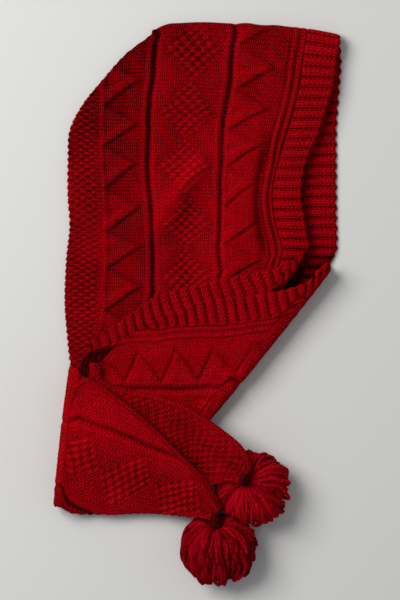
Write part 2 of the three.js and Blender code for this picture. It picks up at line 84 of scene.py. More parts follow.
right_returned = [
    (-448, -375, -387, -133, 5, -40, 105, 45, 0, 0, 0.35, 38, 0, 24),
    (-380, -380, -318, -161, 5, -66, 112, 50, 0, 0, 0.8, 34, 0, 20),
    (-297, -379, -235, -194, 5, -78, 110, 50, 0, 0, 1, 30, 0, 16),
    (-215, -377, -160, -229, 5, -78, 106, 50, 0, 0, 1, 26, 0, 13),
    (-132, -378, -84, -268, 5, -70, 106, 45, 0, 0, 1, 21, 0.3, 10),
    (-57, -382, -15, -303, 5, -30, 102, 35, 0, 0, 1, 15, 0.7, 7),
    (2, -384, 33, -332, 5, 35, 85, 10, 0, 0, 1, 10, 1, 4),
    (40, -387, 74, -369, 5, 62, 62, 5, 0, 0, 1, 6, 1, 2),
]
# Where the border, the second divider, the first divider and the moss stitch start: their wales, counted
# in mm from the free edge, and then their places on each row of the crown and hood, in percent from the
# back seam.
WALES = np.array([30.0, 98.0, 168.0, 216.0])
hood_wales = [
    (82, 43.6, 1.9, -25), (82, 43.6, 1.9, -25), (82, 43.6, 1.9, -25),
    (84.3, 50.5, 13.3, -10.5), (85.7, 55.2, 21.7, 0), (86.9, 59.4, 28.3, 8.6), (87.5, 62.1, 32.3, 13.3),
    (89.1, 64.9, 34, 14.7), (87.6, 65.7, 35.2, 15), (87.2, 63.4, 34.5, 14.3), (89, 62.9, 35.9, 15.6),
    (89.3, 64.2, 36.2, 16), (87.1, 57.8, 27.6, 6.9),
]
# on the neck fold, tail, edge fold and returned tail: how far in the border and the second divider start,
# in percent of the row from its free end, below zero where they are turned under
right_turned = [
    (14.5, 50), (15.4, 53.7), (16.8, 58.8), (18.5, 64.4), (17, 64), (14, 60), (8, 52), (-4, 40),
    (-30, 30.6), (-40, 27.4), (-53, 23.7), (-71, 17), (-106, 2.8), (-165, -12), (-267, -37), (-470, -81),
]

# the columns of a strip's rows after the two ends
DOME, BOW, DIP, TUCK, WIDTH, PLEATS, LEAD, OUT_X, OUT_Y, FIRST_WALE = range(6, 16)


def strip_rows(side, crown, hood, neck, tail, edge, returned, turned):
    """All rows of one half as columns of numbers: back end (0-2), front end (3-5), dome, bow, dip, tuck,
    width, pleats, lead (6-12), the way its bow points (13-14) and the places of the wales (15-18). A
    fold's rows stand on half an ellipse round its ridge line: pulled in by reach times 1 - cos, and
    raised by half the height times 1 + sin."""
    def place(x, y):
        return np.array([x * SPREAD_WIDTH / 1000, y * SPREAD_LENGTH / 1000])

    def height(layer, lift):
        return WALL / 2 + layer * (WALL + GAP) + lift / 100 * LOFT

    def tail_wales(at):
        border, divider = at
        spread = (divider - border) / (WALES[1] - WALES[0])
        return 1 - (border + (WALES - WALES[0]) * spread) / 100

    rows = []
    tail_places = [tail_wales(at) for at in turned]

    def add_fold(fold, low, high, angles, inward, wales):
        back, front = place(*fold["ridge"][:2]), place(*fold["ridge"][2:])
        along = (front - back) / np.linalg.norm(front - back)
        out = np.array([-along[1], along[0]])
        if out @ (inward - (back + front) / 2) > 0:
            out = -out
        dome = fold.get("dome", (0, 0))
        for k, angle in enumerate(np.radians(angles)):
            pulled = 1 - math.cos(angle)
            share = k / (len(angles) - 1)
            z = [low[i] + (high[i] - low[i]) * (1 + math.sin(angle)) / 2 for i in (0, 1)]
            ends = [back - out * fold["reach"][0] * pulled, front - out * fold["reach"][1] * pulled]
            rows.append((*ends[0], z[0], *ends[1], z[1], dome[0] + (dome[1] - dome[0]) * share, fold["bow"],
                         0, 0,
                         fold["width"], 0, fold["lead"], *out, *wales[k if len(wales) > 1 else 0]))

    def add_plain(table, wales):
        for values, places in zip(table, wales):
            back, front = place(*values[:2]), place(*values[2:4])
            rows.append((*back, height(values[4], values[5]), *front, height(values[4], values[6]),
                         *values[7:], 0, 1,
                         *places))

    def middle(values):
        return place((values[0] + values[2]) / 2, (values[1] + values[3]) / 2)

    hood_places = np.array(hood_wales) / 100
    flat = [height(0, 0)] * 2
    over = [height(1, crown["lift"][0]), height(1, crown["lift"][1])]
    add_fold(crown, flat, over, [side * angle for angle in CROWN_ANGLES], middle(hood[0]), hood_places[:3])
    first = list(rows[0])
    first[2] += side * GAP / 2
    first[5] += side * GAP / 2
    rows[0] = tuple(first)
    add_plain(hood, hood_places[3:])
    cut = len(rows) - 1
    ridges = []
    for before, fold, after in ((hood, neck, tail), (tail, edge, returned)):
        levels = [[height(fold[at][0], lift) for lift in fold[at][1:]] for at in ("low", "high")]
        ridges.append(len(rows) + FOLD_ANGLES.index(0))
        add_fold(fold, *levels, FOLD_ANGLES, middle(before[-1]), tail_places[:1])
        add_plain(after, tail_places[1:])
        del tail_places[:1 + len(after)]
    return np.array(rows, float), cut, ridges


def smooth_curve(ends, t):
    """A centripetal Catmull-Rom curve through the rows' ends, at t in rows from the crown: the slope at
    an end is the mean of its two chords, each weighed by the square root of its length, and a cubic joins
    the slopes."""
    count = len(ends)
    t = np.clip(t, 0, count - 1 - 1e-9)
    i = np.floor(t).astype(int)
    w = (t - i)[:, None]

    def end(k):
        before, after = 2 * ends[0] - ends[1], 2 * ends[-1] - ends[-2]
        inside = ends[np.clip(k, 0, count - 1)]
        return np.where((k < 0)[:, None], before, np.where((k > count - 1)[:, None], after, inside))

    def chord(a, b):
        return np.maximum(((a - b) ** 2).sum(1) ** 0.25, 1e-4)[:, None]

    p0, p1, p2, p3 = end(i - 1), end(i), end(i + 1), end(i + 2)
    d0, d1, d2 = chord(p0, p1), chord(p1, p2), chord(p2, p3)
    s1 = ((p1 - p0) / d0 - (p2 - p0) / (d0 + d1) + (p2 - p1) / d1) * d1
    s2 = ((p2 - p1) / d1 - (p3 - p1) / (d1 + d2) + (p3 - p2) / d2) * d1
    return p1 + s1 * w + (-3 * p1 + 3 * p2 - 2 * s1 - s2) * w ** 2 + (2 * p1 - 2 * p2 + s1 + s2) * w ** 3


class Strip:
    """One half's middle surface, and where its wales and courses run."""

    def __init__(self, side, *parts):
        self.side = side
        self.rows, self.cut, (self.neck_ridge, self.edge_ridge) = strip_rows(side, *parts)
        self.last = len(self.rows) - 1
        steps = np.linalg.norm(np.diff(self.rows[:, 3:6], axis=0), axis=1)
        self.lengths = np.concatenate([[0], np.cumsum(steps)])

    def value(self, column, t):
        return np.interp(t, np.arange(len(self.rows)), self.rows[:, column])

    def along(self, t):
        return np.interp(t, np.arange(len(self.rows)), self.lengths)

    def root(self, t):
        """Where the border starts: at the border's place among the wales, nearer the edge as it is turned
        under."""
        share = np.minimum(1 - self.value(FIRST_WALE, t), BORDER_MOST)
        tuck = self.value(TUCK, t)
        flat = BORDER_WIDTH / (self.value(WIDTH, t) / 100 * STRIP_WIDTH)
        share = np.where(tuck > 0, np.minimum(flat, BORDER_MOST), share)
        return 1 - np.maximum(share, 0) * (1 - tuck) ** 4

    def points(self, u, t):
        """The middle surface at shares u across and rows t along: the straight line from the back end to
        the front end, raised by the dome, bowed outwards, sunk along the dip and waved by the pleats."""
        shape, u, t = u.shape, u.ravel(), t.ravel()
        back, front = smooth_curve(self.rows[:, 0:3], t), smooth_curve(self.rows[:, 3:6], t)
        at = back + (front - back) * u[:, None]
        crowned = 1 - np.abs(2 * u - 1) ** np.where(u > 0.5, 2, 4)
        out = np.stack([self.value(OUT_X, t), self.value(OUT_Y, t)], 1)
        at[:, :2] += out * (self.value(BOW, t) * crowned)[:, None]
        from_edge = (1 - u) * self.value(WIDTH, t) / 100 * STRIP_WIDTH
        dip = np.exp(-((from_edge - DIP_PLACE) / DIP_SPREAD) ** 2)
        pleat = self.value(PLEATS, t) * GATHER_DEPTH * np.cos(2 * np.pi * PLEATS_ACROSS * u)
        at[:, 2] += (self.value(DOME, t) * crowned - self.value(DIP, t) * dip) / 100 * LOFT + pleat
        return at.reshape(*shape, 3)

    def wale(self, u, t):
        """Distance from the free edge in the knitting, counted in wales: linear between the four known
        places."""
        places = [self.value(FIRST_WALE + k, t) for k in range(4)]
        edge, second, first, moss = places
        border_wale, second_wale, first_wale, moss_wale = WALES
        s = second_wale + (first_wale - second_wale) * np.clip((second - u) / (second - first), 0, 1)
        s = s + (moss_wale - first_wale) * np.maximum((first - u) / (first - moss), 0)
        s = s - (second_wale - border_wale) * np.clip((u - second) / (edge - second), 0, 1)
        free = np.maximum(1 - edge, 1e-6)
        return s - np.where(edge < 1, border_wale * np.clip((u - edge) / free, 0, 1), 0)

    def course(self, u, t):
        """Distance down from the crown in the knitting: the length of the free edge, and the lead of the
        back edge."""
        return self.along(t) + (1 - u) * self.value(LEAD, t) / 100 * STRIP_WIDTH


def surface_normals(points, side):
    """Unit normals of a grid of points, pointing to the right side: the slope along crossed with the
    slope across."""
    down, across = np.gradient(points, axis=0), np.gradient(points, axis=1)
    normal = np.cross(down, across)
    return side * normal / np.maximum(np.linalg.norm(normal, axis=2, keepdims=True), 1e-9)


def even_rows(strip, first, last, step):
    """Rows t so that neither edge of the strip moves more than about a step from one row to the next."""
    t = np.linspace(first, last, 1500)
    back, front = smooth_curve(strip.rows[:, 0:3], t), smooth_curve(strip.rows[:, 3:6], t)
    moved = np.maximum(np.linalg.norm(np.diff(back, axis=0), axis=1),
                       np.linalg.norm(np.diff(front, axis=0), axis=1))
    length = np.concatenate([[0], np.cumsum(moved)])
    count = 2 * int(round(length[-1] / step / 2)) + 1
    return np.interp(np.linspace(0, length[-1], count), length, t)


def zigzag(s, p, centre, reach, pitch, phase):
    """A line that runs to and fro across a panel: distance to a triangle wave, taken square to the line,
    and the place in the wave, from -0.5 to 0 where it runs backwards and from 0 to 0.5 where it
    returns."""
    place = (p - phase) / pitch - np.round((p - phase) / pitch)
    slope = 4 * reach / pitch
    return (s - centre + reach * (4 * np.abs(place) - 1)) / math.hypot(1, slope), place


def brick_bumps(s, p, across, along):
    """Round bumps laid like bricks: a cosine across times a cosine along, with the hollows between them
    levelled."""
    wave = np.cos(2 * np.pi * s / across) * np.cos(2 * np.pi * p / along)
    return np.sign(wave) * np.abs(wave) ** 0.75


def bell(distance, spread):
    """A bell curve: e to the minus square of the distance over its spread, so 1 in the middle."""
    return np.exp(-(distance / spread) ** 2)


# The pattern's places, in wales: the moss stitch's edge, each zigzag's middle, reach and pitch, the
# diamonds' middle, pitch and half width and length, and the two plain ribs between their limits.
MOSS_EDGE = 219.0
ZIGZAGS = ((195.5, 16.5, 41.0), (72.5, 17.5, 38.5))
DIAMOND_MIDDLE, DIAMOND_PITCH = 133.0, 55.5
DIAMOND_HALF_WIDTH, DIAMOND_HALF_LENGTH = 27.0, 29.0
PLAIN_RIBS_FROM, PLAIN_RIBS_TO = 28.0, 47.0
PLAIN_RIB_MIDDLE, PLAIN_RIB_PITCH = 33.5, 7.6
FURROW = 1.9


def knit_relief(s, p, phases):
    """Height of the stitches and of the soft folds over the plain wall, in mm, and how far a place is
    purled, 0 to 1. phases holds where the first zigzag, the diamonds and the second zigzag start, and how
    strong the zigzags' fainter lines are."""
    zig_a, diamond, zig_b, faint = phases
    # a slow unevenness of the hand, in height and in the way that the wales and courses run
    folds = 0.8 * np.sin(s / 17 + 2 * np.sin(p / 43)) * np.sin(p / 23 + 1.3)
    even_s, even_p = s, p
    s = even_s + 1.0 * np.sin(even_p / 29 + 1) + 0.5 * np.sin(even_p / 11 + even_s / 40)
    p = even_p + 1.6 * np.sin(even_s / 23) + 0.6 * np.sin(even_s / 9)
    # the panels puff up beside the dividers, and the diamonds sink between them
    folds += 1.5 * bell(s - 87, 8) + 1.5 * bell(s - 157, 8)
    folds -= 1.6 * bell(s - 131, 13) * np.clip((p - 120) / 40, 0, 1)
    folds += 1.0 * bell(s - 184, 7) + 0.9 * bell(s - 60, 7)
    # a soft fold runs down and back across the diamonds
    fold = ((p - 130) * 0.55 - (s - 118) * 0.835)
    ends = np.exp(-(((p - 165) * 0.835 + (s - 140) * 0.55) / 48) ** 4)
    folds += ends * (3.6 * bell(fold, 8) - 1.8 * bell(fold - 16, 7))
    moss_band = np.clip((s - MOSS_EDGE) / 2, 0, 1)
    bumps = brick_bumps(s - MOSS_EDGE, p + 0.8 * np.sin(s / 9), 11.4, 6.6)
    height = moss_band * (1.7 * bumps * (0.85 + 0.3 * np.sin(s * 1.7 + p * 0.9)) - 0.2)
    # the knit column beside the moss stitch, and its furrow
    height += 1.1 * bell(s - 215.5, 2.2) - 0.9 * bell(s - 211, 1.6)
    purl = moss_band
    # each zigzag is a furrow with beads along one side, in a panel that rises towards it
    for (centre, reach, pitch), phase in zip(ZIGZAGS, (zig_a, zig_b)):
        off, place = zigzag(s, p, centre, reach, pitch, phase)
        inside = np.clip((reach + 5 - np.abs(s - centre)) / 4, 0, 1)
        strength = faint + (1 - faint) * np.clip(0.5 - place * 8, 0, 1)
        beads = 0.75 + 0.5 * np.cos(2 * np.pi * p / 4.2)
        height -= inside * strength * (1.9 * bell(off, FURROW) - 0.8 * beads * bell(off - 3.2, 1.5))
        height += inside * (0.3 + 1.5 * strength) * np.clip(1 - np.abs(off - 8) / 8, 0, 1)
    # each divider is a purled furrow between two raised columns
    for centre in (WALES[2], WALES[1]):
        off = s - centre
        height += -2.9 * bell(off, FURROW) + 1.3 * bell(np.abs(off) - 5, 2.4)
        height += 0.7 * bell(off, 1.6) * np.cos(2 * np.pi * p / 4.6)
        purl = np.maximum(purl, bell(off, 2.4))
    # diamonds of moss stitch, in a panel of plain knitting that stands a little proud
    lane = (p - diamond) / DIAMOND_PITCH
    lane = lane - np.round(lane)
    from_middle = np.abs(s - DIAMOND_MIDDLE)
    across = from_middle / DIAMOND_HALF_WIDTH
    along = np.abs(lane) * DIAMOND_PITCH / DIAMOND_HALF_LENGTH
    inside = np.clip((1 - across - along) * 8, 0, 1)
    bumps = brick_bumps(s - DIAMOND_MIDDLE + 0.7 * np.sin(p / 5),
                        lane * DIAMOND_PITCH + 0.7 * np.sin(s / 6), 9.8, 8.6)
    height += inside * (1.6 * bumps * (0.85 + 0.3 * np.sin(s * 1.3 + p * 1.1)) + 0.1)
    outside = np.clip((across + along - 1) * 3, 0, 1)
    height += 0.6 * outside * np.clip((33 - from_middle) / 6, 0, 1)
    purl = np.maximum(purl, inside)
    ribs = np.clip((PLAIN_RIBS_TO - s) / 2, 0, 1) * np.clip((s - PLAIN_RIBS_FROM) / 2, 0, 1)
    height += ribs * (1.3 * np.cos(2 * np.pi * (s - PLAIN_RIB_MIDDLE) / PLAIN_RIB_PITCH) - 0.1)
    return height, folds, np.clip(purl, 0, 1)


def closed_sheet(name, outer, inner, side, numbers):
    """A closed mesh from a grid of right-side points and one of wrong-side points, in mm, which may be
    half as fine. The rims between them are strips of quads, or of a quad and a triangle for each coarser
    step."""
    rows, columns = outer.shape[:2]
    inner_rows, inner_columns = inner.shape[:2]
    ratio = (rows - 1) // (inner_rows - 1)
    a = np.arange(rows * columns).reshape(rows, columns)
    b = rows * columns + np.arange(inner_rows * inner_columns).reshape(inner_rows, inner_columns)

    def quads(g, turned):
        corners = [g[:-1, :-1], g[1:, :-1], g[1:, 1:], g[:-1, 1:]]
        return np.stack(corners[::-1] if turned else corners, -1).reshape(-1, 4)

    def loop(g):
        return np.concatenate([g[:-1, 0], g[-1, :-1], g[:0:-1, -1], g[0, :0:-1]])

    o, i = loop(a), loop(b)
    o_next, i_next = np.roll(o, -1), np.roll(i, -1)
    faces = [quads(a, False), quads(b, True)]
    if ratio == 1:
        faces.append(np.stack([o_next, o, i, i_next], -1))
        triangles = np.zeros((0, 3), int)
    else:
        faces.append(np.stack([o[1::2], o[0::2], i, i_next], -1))
        triangles = np.stack([o_next[1::2], o[1::2], i_next], -1)
    faces = np.concatenate(faces)
    if side < 0:
        faces, triangles = faces[:, ::-1], triangles[:, ::-1]
    points = np.concatenate([outer.reshape(-1, 3), inner.reshape(-1, 3)]) * 0.001
    mesh = bpy.data.meshes.new(name)
    mesh.from_pydata(points.tolist(), [], faces.tolist() + triangles.tolist())
    for key, (right, wrong) in numbers.items():
        layer = mesh.attributes.new(key, "FLOAT", "POINT")
        layer.data.foreach_set("value", np.concatenate([right.ravel(), wrong.ravel()]).astype(np.float32))
    mesh.shade_smooth()
    piece = bpy.data.objects.new(name, mesh)
    bpy.context.scene.collection.objects.link(piece)
    return piece


def rounded(distance, radius):
    """Share of the wall that is left near a rim: a quarter circle over the last radius."""
    near = np.clip(1 - distance / radius, 0, 1)
    return np.maximum(np.sqrt(1 - near ** 2), 0.12)


def knitted_panel(name, strip, first, last, step, columns, phases, coarse_inside, sunk=0.0, groove=0.0,
                  bulge=0.0,
                  inside_painted_shade=-0.08):
    """The knitting between two rows of the strip, without its border: its middle surface, with the right
    side and the wrong side each half a wall away and raised by their stitches."""
    t = even_rows(strip, first, last, step)[:, None] + np.zeros((1, columns))
    share = np.linspace(0, 1, columns)[None, :]
    u = share * strip.root(t)
    middle = strip.points(u, t)
    normal = surface_normals(middle, strip.side)
    if first == 0:
        normal[0] = [strip.rows[0, OUT_X], strip.rows[0, OUT_Y], 0]
    s, p = strip.wale(u, t), strip.course(u, t)
    height, folds, purl = knit_relief(s, p, phases)
    # the relief is low beside the turned-under border of the returned tail, at the crown and on the folds
    height *= 1 - 0.75 * np.clip(1 - np.abs(t - strip.edge_ridge - 6) / 8, 0, 1) * (s < 92)
    height *= 0.15 + 0.85 * np.clip((t - 0.5) / 2.5, 0, 1)
    for ridge in (strip.neck_ridge, strip.edge_ridge):
        height *= 1 - 0.75 * bell(t - ridge, 1.7)
        folds *= 1 - bell(t - ridge, 1.7)
    folds += bulge * bell(s - 72, 15) * np.clip((p - 70) / 50, 0, 1) * np.clip((240 - p) / 40, 0, 1)
    folds -= groove * bell(s - 49, 5) * np.clip((p - 95) / 40, 0, 1) * np.clip((235 - p) / 25, 0, 1)
    across = np.linalg.norm(strip.points(np.ones_like(u), t) - strip.points(np.zeros_like(u), t), axis=2)
    rim = rounded(u * across, RIM_RADIUS)
    soft = np.clip(u * across / 3, 0.15, 1)
    # the stitches at the back seam stand out of its line
    outwards = strip.points(np.zeros_like(u), t) - strip.points(np.full_like(u, 0.05), t)
    outwards /= np.maximum(np.linalg.norm(outwards, axis=2, keepdims=True), 1e-6)
    seam = 0.8 * np.cos(2 * np.pi * p / 6.6) * np.exp(-u * across / 2.5) * np.clip(t / 3, 0, 1)
    middle = middle + outwards * seam[..., None]
    outer = middle + normal * (WALL / 2 * rim + (height + folds - sunk) * soft)[..., None]
    wrong = -0.45 * (height + folds) + 0.95 * brick_bumps(s + 1.6 * np.sin(p / 7), p + 1.5 * np.sin(s / 5),
                                                          9.6, 8.4)
    inner = middle - normal * (WALL / 2 * rim + wrong * soft)[..., None]
    # paler towards the face and the tail, darker at the crown and the back seam; painted light on the crests
    # of the folds and painted shade in their hollows
    tone = 0.24 * np.clip((p - 30) / 130, 0, 1) + 0.08 * np.clip((p - 300) / 100, 0, 1) - 0.1
    tone = tone - 0.3 * np.clip((s - 80) / 110, 0, 1) + 0.075 * np.clip(folds, -5, 3)
    skip = 2 if coarse_inside else 1
    numbers = {
        "wale": (s, s[::skip, ::skip]),
        "course": (p, p[::skip, ::skip]),
        "relief": (height, wrong[::skip, ::skip]),
        "purl": (purl, np.ones_like(purl)[::skip, ::skip]),
        # painted shade: the wrong side is drawn darker, and darker still just inside the neck fold
        "tone": (tone, (inside_painted_shade - 0.45 * bell(t - strip.neck_ridge + 3, 1))[::skip, ::skip]),
    }
    inner = inner[::skip, ::skip]
    outer[..., 2] = np.maximum(outer[..., 2], 0)
    inner[..., 2] = np.maximum(inner[..., 2], 0)
    return closed_sheet(name, outer, inner, strip.side, numbers)


class Value:
    """One output of a material's node. Arithmetic on it adds the Math node that does it."""

    def __init__(self, socket):
        self.socket = socket

    @classmethod
    def of(cls, tree, kind, settings=None, inputs=None, output=0):
        """A new node: its settings first, with a ramp's stops as (place, colour), then values or links."""
        node = tree.nodes.new(kind)
        for key, value in (settings or {}).items():
            if key == "stops":
                while len(node.color_ramp.elements) < len(value):
                    node.color_ramp.elements.new(1)
                for element, (place, colour) in zip(node.color_ramp.elements, value):
                    element.position, element.color = place, colour
            else:
                setattr(node, key, value)
        for key, value in (inputs or {}).items():
            if isinstance(value, Value):
                tree.links.new(value.socket, node.inputs[key])
            else:
                node.inputs[key].default_value = value
        return cls(node.outputs[output])

    def math(self, operation, *others, turned=False, clamp=False):
        operands = [self, *others]
        if turned:
            operands.reverse()
        settings = {"operation": operation, "use_clamp": clamp}
        return Value.of(self.socket.id_data, "ShaderNodeMath", settings, dict(enumerate(operands)))

    def __add__(self, other):
        return self.math("ADD", other)

    def __sub__(self, other):
        return self.math("SUBTRACT", other)

    def __rsub__(self, other):
        return self.math("SUBTRACT", other, turned=True)

    def __mul__(self, other):
        return self.math("MULTIPLY", other)

    def __truediv__(self, other):
        return self.math("DIVIDE", other)

    __radd__ = __add__
    __rmul__ = __mul__


def attribute(tree, key):
    return Value.of(tree, "ShaderNodeAttribute", {"attribute_name": key}, output=2)


def noise(place, scale, detail, roughness=0.5):
    """Noise at a place in the piece's own metres, mostly near one half."""
    return Value.of(place.socket.id_data, "ShaderNodeTexNoise", {"noise_dimensions": "3D"},
                    {"Vector": place, "Scale": scale, "Detail": detail, "Roughness": roughness})


def woollen(name):
    """A new material with the dull and faintly downy finish that all of this wool has, with its tree and
    shader."""
    material = bpy.data.materials.new(name)
    material.use_nodes = True
    shader = material.node_tree.nodes["Principled BSDF"]
    shader.inputs["Specular IOR Level"].default_value = 0.02
    shader.inputs["Sheen Weight"].default_value = 0.1
    shader.inputs["Sheen Roughness"].default_value = 0.5
    shader.inputs["Sheen Tint"].default_value = (0.8, 0.0, 0.03, 1)
    return material, material.node_tree, shader


def knitted_wool(name, deep, bright, stitch):
    """Wool knitted in V-shaped stitches. A stitch is stitch wide and four fifths as long; its two legs
    lean towards the middle of the wale, so the height is a sine across a leg times a sine along it. Hairs
    are fine noise."""
    material, tree, shader = woollen(name)
    wale, course, relief, purl, tone = [attribute(tree, key) for key in ("wale", "course", "relief", "purl",
                                                                         "tone")]
    place = Value.of(tree, "ShaderNodeTexCoord", output=3)
    slack = noise(place, 45.0, 2.0)
    hairs = noise(place, 1100.0, 3.0, 0.6)
    mottle = noise(place, 28.0, 4.0, 0.55)
    fluff = noise(place, 330.0, 2.0, 0.6)
    stitch_length = stitch * 0.8
    across = ((wale + slack * 1.6) / stitch).math("FRACT")
    leg = ((across - 0.5) * 2).math("ABSOLUTE")
    knit_row = ((course + slack * 1.6) / stitch_length - leg * 0.8).math("FRACT")
    leg_height = (leg * math.pi).math("SINE").math("POWER", 0.6)
    knit = leg_height * (knit_row * math.pi).math("SINE").math("POWER", 0.7)
    bar = (course / stitch_length + (across * 2 * math.pi).math("SINE") * 0.2).math("FRACT")
    bars = (bar * math.pi).math("SINE").math("POWER", 0.7)
    # painted light and shade: the stitches are drawn lighter on their tops and darker between them, and the
    # relief darkens the furrows and lightens what stands proud
    loops = knit * (1 - purl) + (bars * 0.4 + 0.14) * purl
    painted_relief_shading = (relief * 0.17).math("MAXIMUM", -0.6).math("MINIMUM", 0.35)
    shade = 0.2 + loops * 0.75 + painted_relief_shading + tone + (hairs - 0.5) * 0.5
    shade = shade + (mottle - 0.5) * 0.35 + (fluff - 0.5) * 0.5
    colour = Value.of(tree, "ShaderNodeValToRGB", {"stops": [(0.0, deep), (1.0, bright)]}, {"Fac": shade})
    tree.links.new(colour.socket, shader.inputs["Base Color"])
    rough = 0.86 + (hairs - 0.5) * 0.2
    tree.links.new(rough.socket, shader.inputs["Roughness"])
    loops_bump = Value.of(tree, "ShaderNodeBump", {}, {"Height": loops, "Distance": 0.0018, "Strength": 1.0})
    hair_bump = Value.of(tree, "ShaderNodeBump", {},
                         {"Height": hairs, "Distance": 0.0009, "Strength": 1.0, "Normal": loops_bump})
    tree.links.new(hair_bump.socket, shader.inputs["Normal"])
    return material


WOOL_DEEP = (0.03, 0.0002, 0.0004, 1)
WOOL_BRIGHT = (0.60, 0.0012, 0.007, 1)
wool = knitted_wool("red_wool_knit", WOOL_DEEP, WOOL_BRIGHT, 4.2)

right = Strip(1, right_crown, right_hood, right_neck, right_tail, right_edge, right_returned, right_turned)
RIGHT_PHASES = (36, 26.5, -17, 0.4)
right_hood_side = knitted_panel("right_hood_side", right, 0, right.cut, 1.25, 185, RIGHT_PHASES, True,
                                groove=4.5,
                                 bulge=2.8)
right_hood_side.data.materials.append(wool)
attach(right_hood_side, "root")
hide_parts("right_side")

# Right half, tail side. The same strip goes on below the neck, folded to the left and, at the left edge,
# back to the right, where its border is turned under and its end is gathered for the pompom.
# painted shade: the tail's wrong side is drawn very dark, where it shows in the hollow between the folds
right_tail_side = knitted_panel("right_tail_side", right, right.cut, right.last, 1.35, 109, RIGHT_PHASES,
                                True,
                                 inside_painted_shade=-0.5)
right_tail_side.data.materials.append(wool)
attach(right_tail_side, "root")
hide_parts("right_side")

# Right border. The free edge is knitted in ribs that run square to it, as deep on the wrong side as on
# the right. It runs from the crown round the face and down the tail, and rolls under at the gathered end.
RIB_PITCH = 10.3
RIB_HEIGHT, RIB_BASE = 4.3, 3.2
TUCK_RADIUS = 3.2
CORNER_PULL = 4


def ribbed_border(name, strip, step, columns, phase):
    """The border from its root to the free edge: flat on the strip, or where it is tucked, rolled round
    TUCK_RADIUS towards the inside. A rib is a raised cosine over its pitch, sharpened so that the furrows
    are narrow."""
    t = even_rows(strip, 0, strip.last, step)[:, None] + np.zeros((1, columns))
    share = np.linspace(0, 1, columns)[None, :] + np.zeros_like(t)
    root = strip.root(t)
    flat = strip.points(root + (1 - root) * share, t)
    edge = strip.points(root, t)
    forward = edge - strip.points(root - 0.02, t)
    forward /= np.linalg.norm(forward, axis=2, keepdims=True)
    width_step = strip.points(np.stack([root[:, 0] - 0.01, root[:, 0]], 1), t[:, :2])
    normal_at_root = surface_normals(width_step, strip.side)[:, :1]
    tuck = strip.value(TUCK, t)
    turn = tuck * np.pi
    width = strip.value(WIDTH, t) / 100 * STRIP_WIDTH
    gone = share * (1 - 0.75 * np.sin(turn)) * np.minimum(BORDER_WIDTH, width * 0.4)
    bend = np.minimum(gone / TUCK_RADIUS, turn)
    straight = np.maximum(gone - turn * TUCK_RADIUS, 0)
    ahead = TUCK_RADIUS * np.sin(bend) + straight * np.cos(turn)
    under = TUCK_RADIUS * (1 - np.cos(bend)) + straight * np.sin(turn)
    rolled = edge + forward * ahead[..., None] - strip.side * normal_at_root * under[..., None]
    blend = np.where(share > 0, np.clip(tuck * 4, 0, 1), 0)[..., None]
    middle = flat * (1 - blend) + rolled * blend
    normal = surface_normals(middle, strip.side)
    normal[0] = [strip.rows[0, OUT_X], strip.rows[0, OUT_Y], 0]
    along = strip.along(t)
    ribbed = strip.lengths[strip.edge_ridge]
    fade = np.clip((ribbed - along) / 12, 0, 1) * (1 - 0.7 * bell(t - strip.neck_ridge, 1.6))
    # ribs lean and differ a little, as knitted ribs do
    course = strip.course(root + (1 - root) * share, t)
    place = (course + phase + 0.7 * np.sin(along / 31) + 1.2 * (share - 0.5) * np.sin(along / 47)) / RIB_PITCH
    rib = np.abs(np.cos(np.pi * place)) ** 0.55
    back_rib = np.abs(np.sin(np.pi * place)) ** 0.55
    reach = np.clip(share * 12, 0, 1) * np.clip((1 - share) * 9, 0.25, 1)
    high = (RIB_HEIGHT * rib - RIB_BASE) * fade * reach
    low = (RIB_HEIGHT * back_rib - RIB_BASE) * fade * reach
    span = np.linalg.norm(flat[:, -1:] - flat[:, :1], axis=2)
    rim = rounded((1 - share) * np.maximum(span, 8), RIM_RADIUS)
    # the ribs' ends scallop the free edge
    scallop = 0.9 * np.cos(2 * np.pi * place) * fade * np.exp((share - 1) * span / 3)
    middle = middle + forward * scallop[..., None]
    # the neck fold's corner is worn round
    pull = CORNER_PULL * share ** 2 * bell(t - strip.neck_ridge, 1.2)
    middle = middle - forward * pull[..., None]
    outer = middle + normal * (WALL / 2 * rim + high)[..., None]
    inner = middle - normal * (WALL / 2 * rim + low)[..., None]
    outer[..., 2] = np.maximum(outer[..., 2], 0)
    inner[..., 2] = np.maximum(inner[..., 2], 0)
    across = (1 - share) * 30
    # the ribs are a little paler, and painted shade darkens their wrong side just inside the neck fold
    numbers = {"wale": (place * RIB_PITCH,) * 2, "course": (across, across), "relief": (high, low),
               "purl": (0 * high, 0 * low),
               "tone": (0.1 + 0 * high, 0.1 - 0.6 * bell(t - strip.neck_ridge + 3, 1))}
    return closed_sheet(name, outer, inner, strip.side, numbers)


border_wool = knitted_wool("red_wool_rib", WOOL_DEEP, WOOL_BRIGHT, RIB_PITCH / 2)
right_rib = ribbed_border("right_rib", right, 0.95, 27, 0)
right_rib.data.materials.append(border_wool)
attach(right_rib, "root")
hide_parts("right_border")

